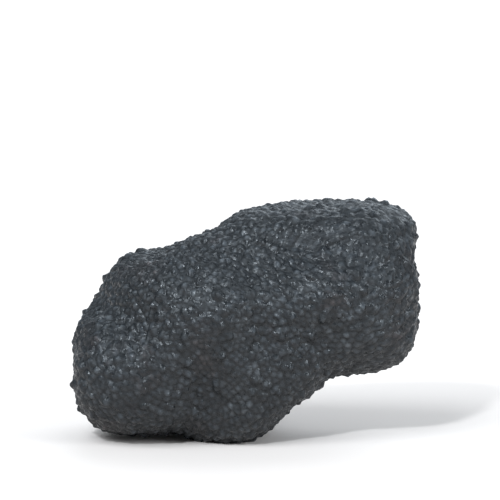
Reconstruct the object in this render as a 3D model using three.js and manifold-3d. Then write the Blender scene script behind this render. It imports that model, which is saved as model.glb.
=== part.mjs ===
// Black summer truffle: one whole tuber, about 47 mm long, lying on a small flat spot. It is one
// solid, because a truffle grows in one piece. Its skin is closely set with low pyramid warts of
// four to eight sides, which meet in narrow grooves.
//
// Millimetres, +Z up. The origin is the middle of the flat spot, +X runs along the tuber from its
// low foot to its high crown, and -Y is its front.

import * as THREE from "three";
import { ConvexHull } from "three/addons/math/ConvexHull.js";
import { mergeVertices } from "three/addons/utils/BufferGeometryUtils.js";
import Module from "manifold-3d";

// The tuber is a few swellings grown into one another. Each has a middle and half sizes.
const BELLY = { middle: [2.5, -1.4, 15.5], half: [13.0, 12.7, 11.9] };
const BACK = { middle: [2.5, 7.4, 15.5], half: [9.0, 8.2, 8.0] };
const FOOT = { middle: [-11.0, -0.9, 9.2], half: [8.8, 12.9, 8.6] };
const KEEL = { middle: [0.5, -0.4, 7.6], half: [8.0, 11.2, 8.6] };
const SHOULDER = { middle: [-7.2, 0.2, 17.3], half: [8.3, 13.2, 6.7] };
const FLANK = { middle: [16.5, -0.9, 17.0], half: [9.2, 10.2, 8.5] };
const NECK = { middle: [15.0, 0.9, 22.6], half: [9.8, 9.2, 5.6] };
const CROWN = { middle: [13.6, 0.8, 27.0], half: [12.1, 8.6, 4.0] };
const SWELLINGS = [BELLY, BACK, FOOT, KEEL, SHOULDER, FLANK, NECK, CROWN];
const SQUARENESS = 2.5; // 2 makes each swelling an ellipsoid, more makes it squarer
const SHARPNESS = 8.5; // how tightly one swelling's surface keeps clear of the next
const MEAN_HALF = 13; // a typical half size, which turns the blend into millimetres

// Wide uneven lumps, as a sum of waves that run in evenly spread directions.
const LUMP_WAVES = 20;
const LONGEST_LUMP = 18;
const SHORTEST_LUMP = 7;
const LUMP_SLOPE = 0.013; // a wave's height over its length

// Warts of mixed sizes. A wart's size is how far its tip keeps from the tip of another of its size.
const SPOTS = 20000; // places on the skin that a wart's tip may take
const SMALLEST_WART = 1.1;
const WART_RANGE = 1.5;
const WART_TALLNESS = 0.34; // a wart's height over its size
const GROOVE_DEPTH = 0.12;
const SIZE_STEP = 31; // sets the order that sizes come in apart from the order of the spots
const TURN_MARGIN = 1e-6; // radians

const HEART = new THREE.Vector3(0, 0, 16); // all of the skin is in plain sight from here
const GIRTH = new THREE.Vector3(23, 14.5, 15.5); // half sizes of an egg that the spots are spread on
const REACH = 34; // further from the heart than any of the skin
const HALVINGS = 30; // of that reach, to find the skin
const SURFACE_STEP = 0.05; // step for the skin's slope

const GOLDEN_TURN = Math.PI * (3 - Math.sqrt(5));
const GOLDEN_SHARE = (Math.sqrt(5) - 1) / 2;

// A share from 0 to 1 for each k, all of them evenly spread and in mixed order.
function mixedShare(k) {
  return (k * GOLDEN_SHARE) % 1;
}

// The k-th of count directions spread evenly over a sphere.
function evenDirection(k, count) {
  const z = 1 - (2 * (k + 0.5)) / count;
  const ring = Math.sqrt(1 - z * z);
  return new THREE.Vector3(ring * Math.cos(GOLDEN_TURN * k), ring * Math.sin(GOLDEN_TURN * k), z);
}

const waves = Array.from({ length: LUMP_WAVES }, (_, k) => ({
  way: evenDirection(k, LUMP_WAVES),
  length: LONGEST_LUMP * (SHORTEST_LUMP / LONGEST_LUMP) ** mixedShare(k),
  start: GOLDEN_TURN * k * k,
}));

// Roughly how many millimetres a point lies inside the tuber's skin, without its warts.
function depthInside(p) {
  let sum = 0;
  for (const { middle, half } of SWELLINGS) {
    const share = ["x", "y", "z"].reduce(
      (s, axis, i) => s + Math.abs((p[axis] - middle[i]) / half[i]) ** SQUARENESS,
      0,
    );
    sum += Math.exp(SHARPNESS * (1 - share ** (1 / SQUARENESS)));
  }
  let lumps = 0;
  for (const { way, length, start } of waves)
    lumps += length * LUMP_SLOPE * Math.sin((2 * Math.PI * p.dot(way)) / length + start);
  return (MEAN_HALF * Math.log(sum)) / SHARPNESS + lumps;
}

// The point of the skin that lies beyond or short of a point, seen from the heart.
function onSkin(point) {
  const ray = point.clone().sub(HEART).normalize();
  let near = 0;
  let far = REACH;
  for (let i = 0; i < HALVINGS; i++) {
    const middle = (near + far) / 2;
    if (depthInside(HEART.clone().addScaledVector(ray, middle)) > 0) near = middle;
    else far = middle;
  }
  return HEART.clone().addScaledVector(ray, near);
}

// A point of the skin, raised square to the skin by a height.
function raised(point, height) {
  const slope = new THREE.Vector3();
  for (const axis of ["x", "y", "z"]) {
    const before = point.clone();
    const after = point.clone();
    before[axis] -= SURFACE_STEP;
    after[axis] += SURFACE_STEP;
    slope[axis] = depthInside(before) - depthInside(after);
  }
  return point.clone().addScaledVector(slope.normalize(), height);
}

// The warts: spots on the skin in mixed order, each one kept where it is further from every wart kept
// before it than the mean of their two sizes.
function packWarts() {
  const spots = Array.from({ length: SPOTS }, (_, k) => ({
    place: onSkin(evenDirection(k, SPOTS).multiply(GIRTH).add(HEART)),
    turn: mixedShare(k),
    size: SMALLEST_WART + WART_RANGE * mixedShare(SIZE_STEP * k) ** 2,
  }));
  spots.sort((a, b) => a.turn - b.turn);
  const warts = [];
  for (const spot of spots) {
    const clear = (wart) => wart.place.distanceTo(spot.place) > (wart.size + spot.size) / 2;
    if (warts.every(clear)) warts.push(spot);
  }
  return warts;
}

// One number for the side from tip a to tip b.
function sideKey(a, b) {
  return a * SPOTS + b;
}

// The triangles between neighbouring tips, as a map from each side, first tip to second, to the
// third tip of the triangle on its left. They start as the hull of the tips' directions.
function trianglesBetween(tips) {
  const directions = tips.map((tip) => tip.clone().sub(HEART).normalize());
  const number = new Map(directions.map((direction, k) => [direction, k]));
  const third = new Map();
  for (const { edge } of new ConvexHull().setFromPoints(directions).faces) {
    const corners = [edge.tail(), edge.head(), edge.next.head()].map((v) => number.get(v.point));
    corners.forEach((a, i) => third.set(sideKey(a, corners[(i + 1) % 3]), corners[(i + 2) % 3]));
  }
  turnLongSides(tips, third);
  return third;
}

// The angle of a triangle at its corner c, in radians.
function angleAt(c, a, b) {
  return a.clone().sub(c).angleTo(b.clone().sub(c));
}

// Where two triangles make a lopsided pair, their common side is turned to join the other two tips.
function turnLongSides(tips, third) {
  for (let turned = true; turned; ) {
    turned = false;
    for (const key of [...third.keys()]) {
      const a = Math.floor(key / SPOTS);
      const b = key % SPOTS;
      const left = third.get(sideKey(a, b));
      const right = third.get(sideKey(b, a));
      if (left === undefined || third.has(sideKey(left, right))) continue;
      const atLeft = angleAt(tips[left], tips[a], tips[b]);
      const atRight = angleAt(tips[right], tips[a], tips[b]);
      if (atLeft + atRight < Math.PI + TURN_MARGIN) continue;
      third.delete(sideKey(a, b));
      third.delete(sideKey(b, a));
      for (const [p, q, r] of [[a, right, left], [right, b, left]]) {
        third.set(sideKey(p, q), r);
        third.set(sideKey(q, r), p);
        third.set(sideKey(r, p), q);
      }
      turned = true;
    }
  }
}

// The warty skin as one closed mesh. Three warts meet over the middle of each triangle of tips, so
// each side between two tips crosses a groove, which a face of either wart runs down to.
function wartySkin() {
  const warts = packWarts();
  const tips = warts.map((wart) => wart.place);
  const third = trianglesBetween(tips);
  const points = warts.map((wart) => raised(wart.place, WART_TALLNESS * wart.size));
  const meeting = new Map();
  for (const [key, c] of third) {
    const a = Math.floor(key / SPOTS);
    const b = key % SPOTS;
    if (meeting.has(key)) continue;
    for (const side of [key, sideKey(b, c), sideKey(c, a)]) meeting.set(side, points.length);
    const middle = tips[a].clone().add(tips[b]).add(tips[c]).divideScalar(3);
    points.push(raised(onSkin(middle), -GROOVE_DEPTH));
  }
  const faces = [];
  for (const key of third.keys()) {
    const a = Math.floor(key / SPOTS);
    const b = key % SPOTS;
    faces.push(a, meeting.get(sideKey(b, a)), meeting.get(key));
  }
  return new THREE.BufferGeometry().setFromPoints(points).setIndex(faces);
}

const wasm = await Module();
wasm.setup();

// A closed mesh as a solid that can be cut.
function solidFrom(geometry) {
  return new wasm.Manifold(
    new wasm.Mesh({
      numProp: 3,
      vertProperties: geometry.attributes.position.array,
      triVerts: new Uint32Array(geometry.index.array),
    }),
  );
}

// A cut solid as a mesh again.
function geometryFrom(solid) {
  const mesh = solid.getMesh();
  return new THREE.BufferGeometry()
    .setAttribute("position", new THREE.BufferAttribute(mesh.vertProperties, mesh.numProp))
    .setIndex(new THREE.BufferAttribute(mesh.triVerts, 1));
}

// What is below the surface that the truffle lies on, as an indexed box.
function belowGround() {
  const size = 4 * REACH;
  const box = new THREE.BoxGeometry(size, size, size).translate(0, 0, -size / 2);
  box.deleteAttribute("normal");
  box.deleteAttribute("uv");
  return mergeVertices(box);
}

const skin = solidFrom(wartySkin()).subtract(solidFrom(belowGround()));
const truffle = new THREE.Mesh(
  geometryFrom(skin),
  new THREE.MeshStandardMaterial({ color: 0x3b3d40, roughness: 0.62, metalness: 0 }),
);
truffle.name = "truffle";
truffle.geometry.computeVertexNormals();

const part = new THREE.Group();
part.add(truffle);

export default part;
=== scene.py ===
import math

import bpy
import numpy as np
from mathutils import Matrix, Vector


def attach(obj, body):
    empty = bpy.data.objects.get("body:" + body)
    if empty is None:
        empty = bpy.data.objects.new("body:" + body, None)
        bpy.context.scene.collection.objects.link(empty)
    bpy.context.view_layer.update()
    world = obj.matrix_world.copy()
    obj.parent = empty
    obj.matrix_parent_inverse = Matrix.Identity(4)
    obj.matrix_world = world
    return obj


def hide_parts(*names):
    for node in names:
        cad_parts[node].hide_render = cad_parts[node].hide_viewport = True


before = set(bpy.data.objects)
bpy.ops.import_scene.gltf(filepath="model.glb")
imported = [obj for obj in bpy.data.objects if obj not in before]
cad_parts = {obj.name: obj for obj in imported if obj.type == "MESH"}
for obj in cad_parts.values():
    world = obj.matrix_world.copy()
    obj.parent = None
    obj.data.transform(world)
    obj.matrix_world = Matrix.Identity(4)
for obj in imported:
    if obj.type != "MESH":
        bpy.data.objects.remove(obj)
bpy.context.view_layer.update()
MM = 0.001

# Camera
# A long lens from a little above, straight at the truffle's front, so that it shows almost no
# perspective. The truffle fills the same part of the picture as it does in the photograph.
CAMERA_DISTANCE = 1.2
CAMERA_ELEVATION = math.radians(8.7)
CAMERA_RANGE = 10
FRAME_WIDTH = 66.7 * MM
LEFT_OF_MIDDLE = 3.6 * MM
AIM_HEIGHT = 24.8 * MM
SENSOR_WIDTH = 36.0

aim = Vector((LEFT_OF_MIDDLE, 0, AIM_HEIGHT))
towards_camera = Vector((0, -math.cos(CAMERA_ELEVATION), math.sin(CAMERA_ELEVATION)))
camera = bpy.data.objects.new("camera", bpy.data.cameras.new("camera"))
camera.data.sensor_width = SENSOR_WIDTH
camera.data.lens = SENSOR_WIDTH * CAMERA_DISTANCE / FRAME_WIDTH
camera.data.clip_end = CAMERA_RANGE
camera.location = aim + towards_camera * CAMERA_DISTANCE
camera.rotation_euler = (math.pi / 2 - CAMERA_ELEVATION, 0, 0)
bpy.context.collection.objects.link(camera)
bpy.context.scene.camera = camera
bpy.context.scene.view_settings.view_transform = "Standard"

# Studio
# A pale table top in a dim room of cool daylight, under four lights of the same colour that stand
# far off: a wide key from the upper left, a fill from the right, one from behind, and a narrow one
# that puts the glints on the grains. The table's paint is warm, so that it shows as white.
ROOM_BRIGHTNESS = 0.40
LIGHT_COLOUR = (0.86, 0.96, 1.05)
TABLE_COLOUR = (0.84, 0.75, 0.69, 1)
TABLE_ROUGHNESS = 0.7
TABLE_WIDTH = 4.0

# Where each light shines from, how many degrees wide it is, and its strength.
LIGHTS = {
    "key_light": ((-0.47, -0.50, 0.80), 40, 2.0),
    "fill_light": ((0.80, -0.50, 0.36), 25, 1.7),
    "back_light": ((0.25, 0.72, 0.60), 60, 1.3),
    "glint_light": ((-0.29, -0.70, 0.60), 5, 1.6),
}

room = bpy.data.worlds.new("room")
room.use_nodes = True
daylight = room.node_tree.nodes["Background"]
daylight.inputs["Color"].default_value = (*LIGHT_COLOUR, 1)
daylight.inputs["Strength"].default_value = ROOM_BRIGHTNESS
bpy.context.scene.world = room

for name, (place, width, strength) in LIGHTS.items():
    light = bpy.data.objects.new(name, bpy.data.lights.new(name, "SUN"))
    light.data.angle = math.radians(width)
    light.data.energy = strength
    light.data.color = LIGHT_COLOUR
    light.location = place
    light.rotation_euler = Vector(place).to_track_quat("Z", "Y").to_euler()
    bpy.context.collection.objects.link(light)

half_table = TABLE_WIDTH / 2
table_mesh = bpy.data.meshes.new("table_top")
table_mesh.from_pydata(
    [
        (-half_table, -half_table, 0),
        (half_table, -half_table, 0),
        (half_table, half_table, 0),
        (-half_table, half_table, 0),
    ],
    [],
    [(0, 1, 2, 3)],
)
table_top = bpy.data.objects.new("table_top", table_mesh)
bpy.context.collection.objects.link(table_top)
table_paint = bpy.data.materials.new("table_paint")
table_paint.use_nodes = True
table_shader = table_paint.node_tree.nodes["Principled BSDF"]
table_shader.inputs["Base Color"].default_value = TABLE_COLOUR
table_shader.inputs["Roughness"].default_value = TABLE_ROUGHNESS
table_mesh.materials.append(table_paint)

# Truffle skin
# The rind of a whole summer truffle, a fungus that grows underground into a lumpy tuber. It is one
# piece with the flesh inside. Low hard warts cover all of it, packed side by side, and each wart is
# rough with smaller grains. It lies on a small flat spot.

# The tuber is a few swellings grown into one another, each with a middle and half sizes, and wide
# uneven lumps over them. This form is the frame's own, and its lengths are in millimetres.
BELLY = ((2.5, -1.4, 15.5), (13.0, 12.7, 11.9))
BACK = ((2.5, 7.4, 15.5), (9.0, 8.2, 8.0))
FOOT = ((-11.0, -0.9, 9.2), (8.8, 12.9, 8.6))
KEEL = ((0.5, -0.4, 7.6), (8.0, 11.2, 8.6))
SHOULDER = ((-7.2, 0.2, 17.3), (8.3, 13.2, 6.7))
FLANK = ((16.5, -0.9, 17.0), (9.2, 10.2, 8.5))
NECK = ((15.0, 0.9, 22.6), (9.8, 9.2, 5.6))
CROWN = ((13.6, 0.8, 27.0), (12.1, 8.6, 4.0))
SWELLINGS = [BELLY, BACK, FOOT, KEEL, SHOULDER, FLANK, NECK, CROWN]
SQUARENESS = 2.5  # 2 makes each swelling an ellipsoid, more makes it squarer
SHARPNESS = 8.5  # how tightly one swelling's surface keeps clear of the next
MEAN_HALF = 13  # a typical half size, which turns the blend into millimetres
LUMP_WAVES = 20
LONGEST_LUMP = 18
SHORTEST_LUMP = 7
LUMP_SLOPE = 0.013  # a wave's height over its length
HEART = np.array((0, 0, 16.0))  # all of the skin is in plain sight from here
GIRTH = np.array((23, 14.5, 15.5))  # half sizes of an egg that is moved to the skin
REACH = 34.0  # further from the heart than any of the skin
HALVINGS = 30  # of that reach, to find the skin
SURFACE_STEP = 0.05  # step for the skin's slope
GOLDEN_TURN = math.pi * (3 - math.sqrt(5))
GOLDEN_SHARE = (math.sqrt(5) - 1) / 2


def mixed_share(k):
    """A share from 0 to 1 for each k: the fraction left of k times the golden share."""
    return (k * GOLDEN_SHARE) % 1


def even_directions(count):
    """Directions spread evenly over a sphere: heights in even steps, each a golden turn on."""
    k = np.arange(count)
    z = 1 - 2 * (k + 0.5) / count
    ring = np.sqrt(1 - z * z)
    return np.stack([ring * np.cos(GOLDEN_TURN * k), ring * np.sin(GOLDEN_TURN * k), z], axis=-1)


def depth_inside(points):
    """How far each point lies inside the tuber, without its warts. The swellings are squarish
    ellipsoids, blended by adding their exponentials, and slow waves are added for the lumps."""
    blend = np.zeros(len(points))
    for middle, half in SWELLINGS:
        share = (np.abs((points - middle) / half) ** SQUARENESS).sum(axis=1)
        blend += np.exp(SHARPNESS * (1 - share ** (1 / SQUARENESS)))
    lumps = np.zeros(len(points))
    for k, way in enumerate(even_directions(LUMP_WAVES)):
        length = LONGEST_LUMP * (SHORTEST_LUMP / LONGEST_LUMP) ** mixed_share(k)
        turns = 2 * math.pi * (points @ way) / length
        lumps += length * LUMP_SLOPE * np.sin(turns + GOLDEN_TURN * k * k)
    return MEAN_HALF * np.log(blend) / SHARPNESS + lumps


def on_skin(points):
    """Each point moved along its ray from the heart to the skin, found by halving the span."""
    rays = points - HEART
    rays /= np.linalg.norm(rays, axis=1, keepdims=True)
    near = np.zeros(len(rays))
    far = np.full(len(rays), REACH)
    for _ in range(HALVINGS):
        middle = (near + far) / 2
        inside = depth_inside(HEART + rays * middle[:, None]) > 0
        near = np.where(inside, middle, near)
        far = np.where(inside, far, middle)
    return HEART + rays * near[:, None]


def outward(points):
    """The skin's outward direction at each point: minus the slope of the depth inside."""
    slope = np.empty_like(points)
    for axis, step in enumerate(np.eye(3) * SURFACE_STEP):
        slope[:, axis] = depth_inside(points - step) - depth_inside(points + step)
    return slope / np.linalg.norm(slope, axis=1, keepdims=True)


# The warts are the frame's own, at the same places, of mixed sizes. Smaller grains of mixed sizes
# stand on and between them. Both are packed side by side: a point belongs to its nearest tip.
WART_SPOTS = 20000  # places on the skin that a wart's tip may take
WART_SIZES = (1.1, 1.5)  # the smallest, and how much larger the largest is
WART_TALLNESS = 0.33  # the tallest wart's height over its size
LOWEST_WART = 0.5  # its height over the tallest one's
DARKEST_WART = 0.6  # its paleness over the palest one's
BLUNTNESS = 1.3  # the power in a wart's shape
# Painted shade: a wart's side is darker than its tip.
SHADED_SIDE_PALENESS = 0.6  # a wart's paleness at its side, over that at its tip
GRAIN_SPOTS = 28000
GRAIN_SIZES = (0.6, 0.6)
GRAIN_TALLNESS = 0.37
LOWEST_GRAIN = 0.3
DARKEST_GRAIN = 0.25
ROUNDNESS = 0.7  # the power in a grain's shape
GROOVE_DEPTH = 0.12  # how far the deepest clefts lie under the bare tuber
SIZE_STEP = 31  # sets the order that sizes come in apart from the order of the spots
NEIGHBOURS = 9  # how many of the tips nearest to a point are looked at
CHUNK = 2000  # points that are worked out together, to spare memory


def packed_tips(count, smallest, spread):
    """Tips and their sizes: spots on the skin in mixed order, each one kept where it is further
    from every tip kept before it than the mean of their sizes. A size is the smallest one plus
    the spread times the square of a share."""
    k = np.arange(count)
    order = mixed_share(k).argsort()
    spots = on_skin(HEART + even_directions(count) * GIRTH)[order]
    sizes = (smallest + spread * mixed_share(SIZE_STEP * k) ** 2)[order]
    free = np.ones(count, dtype=bool)
    kept = []
    for first in range(count):
        if free[first]:
            kept.append(first)
            rest = slice(first + 1, None)
            gap_squares = ((spots[rest] - spots[first]) ** 2).sum(axis=1)
            free[rest] &= gap_squares > ((sizes[rest] + sizes[first]) / 2) ** 2
    return spots[kept], sizes[kept]


def share_to_side(points, tips):
    """Which tip each point is nearest to, and the share of the way from that tip to its cell's
    side: the greatest, over the tips near by, of twice the way along the line to that tip. A gap
    is the square of the distance, less the square of the point's own distance from the origin."""
    nearest = np.empty(len(points), dtype=int)
    share = np.empty(len(points))
    tip_squares = (tips**2).sum(axis=1)
    for start in range(0, len(points), CHUNK):
        here = points[start : start + CHUNK]
        gaps = tip_squares - 2 * here @ tips.T
        near = np.argpartition(gaps, NEIGHBOURS, axis=1)[:, :NEIGHBOURS]
        order = np.take_along_axis(gaps, near, axis=1).argsort(axis=1)
        near = np.take_along_axis(near, order, axis=1)
        own = tips[near[:, :1]]
        lines = tips[near[:, 1:]] - own
        along = ((here[:, None] - own) * lines).sum(axis=2) / (lines**2).sum(axis=2)
        nearest[start : start + CHUNK] = near[:, 0]
        share[start : start + CHUNK] = np.clip(2 * along.max(axis=1), 0, 1)
    return nearest, share


def from_least(least, share):
    """A number between the least and 1: the least, plus that share of what is left up to 1."""
    return least + (1 - least) * share


def relief(points):
    """The skin's height over the bare tuber, and a share from 0 in the clefts to 1 on the tips of
    the palest grains. That share is painted shade, darker down the sides of warts and grains and
    into the clefts, times the grains' own random tone. A wart is blunt: one less a power of the
    share to its
    side. A grain on it is a dome: a power of one less the square of that share. Mixed shares make
    some of them lower or darker than others."""
    tips, sizes = packed_tips(WART_SPOTS, *WART_SIZES)
    wart, share = share_to_side(points, tips)
    blunt = 1 - share**BLUNTNESS
    warts = WART_TALLNESS * sizes[wart] * from_least(LOWEST_WART, mixed_share(wart)) * blunt
    paleness = from_least(DARKEST_WART, mixed_share(SIZE_STEP * wart))
    # Painted shade: each wart darker down its sides, towards the clefts.
    paleness *= from_least(SHADED_SIDE_PALENESS, blunt)
    tips, sizes = packed_tips(GRAIN_SPOTS, *GRAIN_SIZES)
    grain, share = share_to_side(points, tips)
    dome = (1 - share**2) ** ROUNDNESS
    grains = GRAIN_TALLNESS * sizes[grain] * from_least(LOWEST_GRAIN, mixed_share(grain)) * dome
    paleness *= from_least(DARKEST_GRAIN, mixed_share(SIZE_STEP * grain) ** 2)
    # Painted shade: each grain darker towards its edge, down to nothing in the clefts.
    return warts + grains - GROOVE_DEPTH, paleness * dome**2


# The mesh is the surface of a block of small cubes, blown up to an egg and then moved to the skin,
# so that its squares are nearly the same size all over. These are the cubes along X, Y and Z.
BLOCK = (166, 104, 112)


def block_patch(axis, end):
    """One side of the block of cubes: its corners as whole-numbered places on a grid of two
    parameters, and its squares as places in that grid, facing out."""
    across = (axis + 1) % 3
    up = (axis + 2) % 3
    corners = np.zeros((BLOCK[across] + 1, BLOCK[up] + 1, 3), dtype=int)
    corners[..., axis] = end * BLOCK[axis]
    corners[..., across] = np.arange(BLOCK[across] + 1)[:, None]
    corners[..., up] = np.arange(BLOCK[up] + 1)[None, :]
    number = np.arange(corners[..., 0].size).reshape(corners.shape[:2])
    squares = np.stack([number[:-1, :-1], number[1:, :-1], number[1:, 1:], number[:-1, 1:]], axis=-1)
    squares = squares.reshape(-1, 4)
    return corners.reshape(-1, 3), squares if end else squares[:, ::-1]


def skin_mesh():
    """The block's six sides sewn together, with every corner moved to the skin and raised by the
    relief, and nothing left below the flat spot. The places across a side are turned into equal
    steps of angle, a quarter turn in all, and their tangents make the squares even on the egg."""
    corners = []
    squares = []
    for axis in range(3):
        for end in (0, 1):
            places, faces = block_patch(axis, end)
            squares.append(faces + sum(map(len, corners)))
            corners.append(places)
    places, number = np.unique(np.concatenate(corners), axis=0, return_inverse=True)
    faces = number.reshape(-1)[np.concatenate(squares)]
    turns = (2 * places / np.array(BLOCK) - 1) * math.pi / 4
    box = np.tan(turns)
    egg = box / np.linalg.norm(box, axis=1, keepdims=True) * GIRTH
    bare = on_skin(HEART + egg)
    height, tone_and_cleft_shade = relief(bare)
    points = bare + outward(bare) * height[:, None]
    points[:, 2] = np.maximum(points[:, 2], 0)
    return points, faces, tone_and_cleft_shade


points, faces, tone_and_cleft_shade = skin_mesh()
skin_shape = bpy.data.meshes.new("truffle_skin")
skin_shape.from_pydata(points * MM, [], faces)
skin_shape.polygons.foreach_set("use_smooth", np.ones(len(faces), dtype=bool))
# The painted shade of the clefts, with the grains' own random tone, is kept on each corner.
skin_shape.attributes.new("tone_and_cleft_shade", "FLOAT", "POINT").data.foreach_set("value", tone_and_cleft_shade)
skin_shape.update()
truffle_skin = bpy.data.objects.new("truffle_skin", skin_shape)
bpy.context.collection.objects.link(truffle_skin)

# The rind's grains are charcoal, with faint brown patches where they are worn and greyer ones where
# they are dry. Painted shade turns the rind near black in the clefts and darker down the sides of
# its warts and grains. Some grains are moist and glint, and all of them are gritty.
# Near black, painted as the shade in the clefts.
CLEFT_SHADE_BLACK = (0.006, 0.007, 0.008, 1)
WORN_BROWN = (0.080, 0.068, 0.068, 1)
CHARCOAL = (0.058, 0.067, 0.077, 1)
ASHEN_GREY = (0.104, 0.113, 0.122, 1)
SPECULAR_LEVEL = 0.37
MOIST_ROUGHNESS = 0.25
DRY_ROUGHNESS = 0.6
GRIT_HEIGHT = 0.08 * MM

# A pattern's scale is its cells to a metre. A noise also has a number of finer layers.
PATCH_SCALE = 190
PATCH_LAYERS = 4
PATCH_ROUGHNESS = 0.62
MOIST_SPOT_SCALE = 1500
MOIST_SPOT_LAYERS = 2
CRUMB_SCALE = 2000
GRIT_SCALE = 2400
GRIT_LAYERS = 3

# The values of a noise, from 0 to 1, at which the grains have each colour, and are moist or dry.
BROWN_UP_TO = 0.34
CHARCOAL_AT = 0.45
GREY_FROM = 0.64
MOIST_UP_TO = 0.40
DRY_FROM = 0.56

rind = bpy.data.materials.new("rind")
rind.use_nodes = True
nodes = rind.node_tree.nodes
links = rind.node_tree.links
shader = nodes["Principled BSDF"]
shader.inputs["Specular IOR Level"].default_value = SPECULAR_LEVEL
coordinates = nodes.new("ShaderNodeTexCoord")


def pattern(kind, scale):
    """A texture node of this kind and scale, on the coordinates of the truffle itself."""
    node = nodes.new(kind)
    node.inputs["Scale"].default_value = scale
    links.new(coordinates.outputs["Object"], node.inputs["Vector"])
    return node


def noise(scale, layers):
    """A noise texture node of this scale, with this many finer layers."""
    node = pattern("ShaderNodeTexNoise", scale)
    node.inputs["Detail"].default_value = layers
    return node


patches = noise(PATCH_SCALE, PATCH_LAYERS)
patches.inputs["Roughness"].default_value = PATCH_ROUGHNESS
grain_colour = nodes.new("ShaderNodeValToRGB")
ramp = grain_colour.color_ramp.elements
ramp[0].position = BROWN_UP_TO
ramp[0].color = WORN_BROWN
ramp[1].position = GREY_FROM
ramp[1].color = ASHEN_GREY
ramp.new(CHARCOAL_AT).color = CHARCOAL
links.new(patches.outputs["Fac"], grain_colour.inputs["Fac"])

# The painted shade towards the clefts, with the grains' own tone, is read from the mesh.
tone_and_shade_attribute = nodes.new("ShaderNodeAttribute")
tone_and_shade_attribute.attribute_name = "tone_and_cleft_shade"
# Near black is mixed in towards the clefts and down the sides: painted shade.
colour = nodes.new("ShaderNodeMix")
colour.data_type = "RGBA"
colour.inputs["A"].default_value = CLEFT_SHADE_BLACK
links.new(tone_and_shade_attribute.outputs["Fac"], colour.inputs["Factor"])
links.new(grain_colour.outputs["Color"], colour.inputs["B"])
links.new(colour.outputs["Result"], shader.inputs["Base Color"])

moist_spots = noise(MOIST_SPOT_SCALE, MOIST_SPOT_LAYERS)
dryness = nodes.new("ShaderNodeMapRange")
dryness.inputs["From Min"].default_value = MOIST_UP_TO
dryness.inputs["From Max"].default_value = DRY_FROM
dryness.inputs["To Min"].default_value = MOIST_ROUGHNESS
dryness.inputs["To Max"].default_value = DRY_ROUGHNESS
links.new(moist_spots.outputs["Fac"], dryness.inputs["Value"])
links.new(dryness.outputs["Result"], shader.inputs["Roughness"])

crumbs = pattern("ShaderNodeTexVoronoi", CRUMB_SCALE)
grit = noise(GRIT_SCALE, GRIT_LAYERS)
skin_height = nodes.new("ShaderNodeMath")
skin_height.operation = "SUBTRACT"
links.new(grit.outputs["Fac"], skin_height.inputs[0])
links.new(crumbs.outputs["Distance"], skin_height.inputs[1])
skin_bump = nodes.new("ShaderNodeBump")
skin_bump.inputs["Distance"].default_value = GRIT_HEIGHT
links.new(skin_height.outputs["Value"], skin_bump.inputs["Height"])
links.new(skin_bump.outputs["Normal"], shader.inputs["Normal"])

skin_shape.materials.append(rind)
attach(truffle_skin, "root")
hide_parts("truffle")
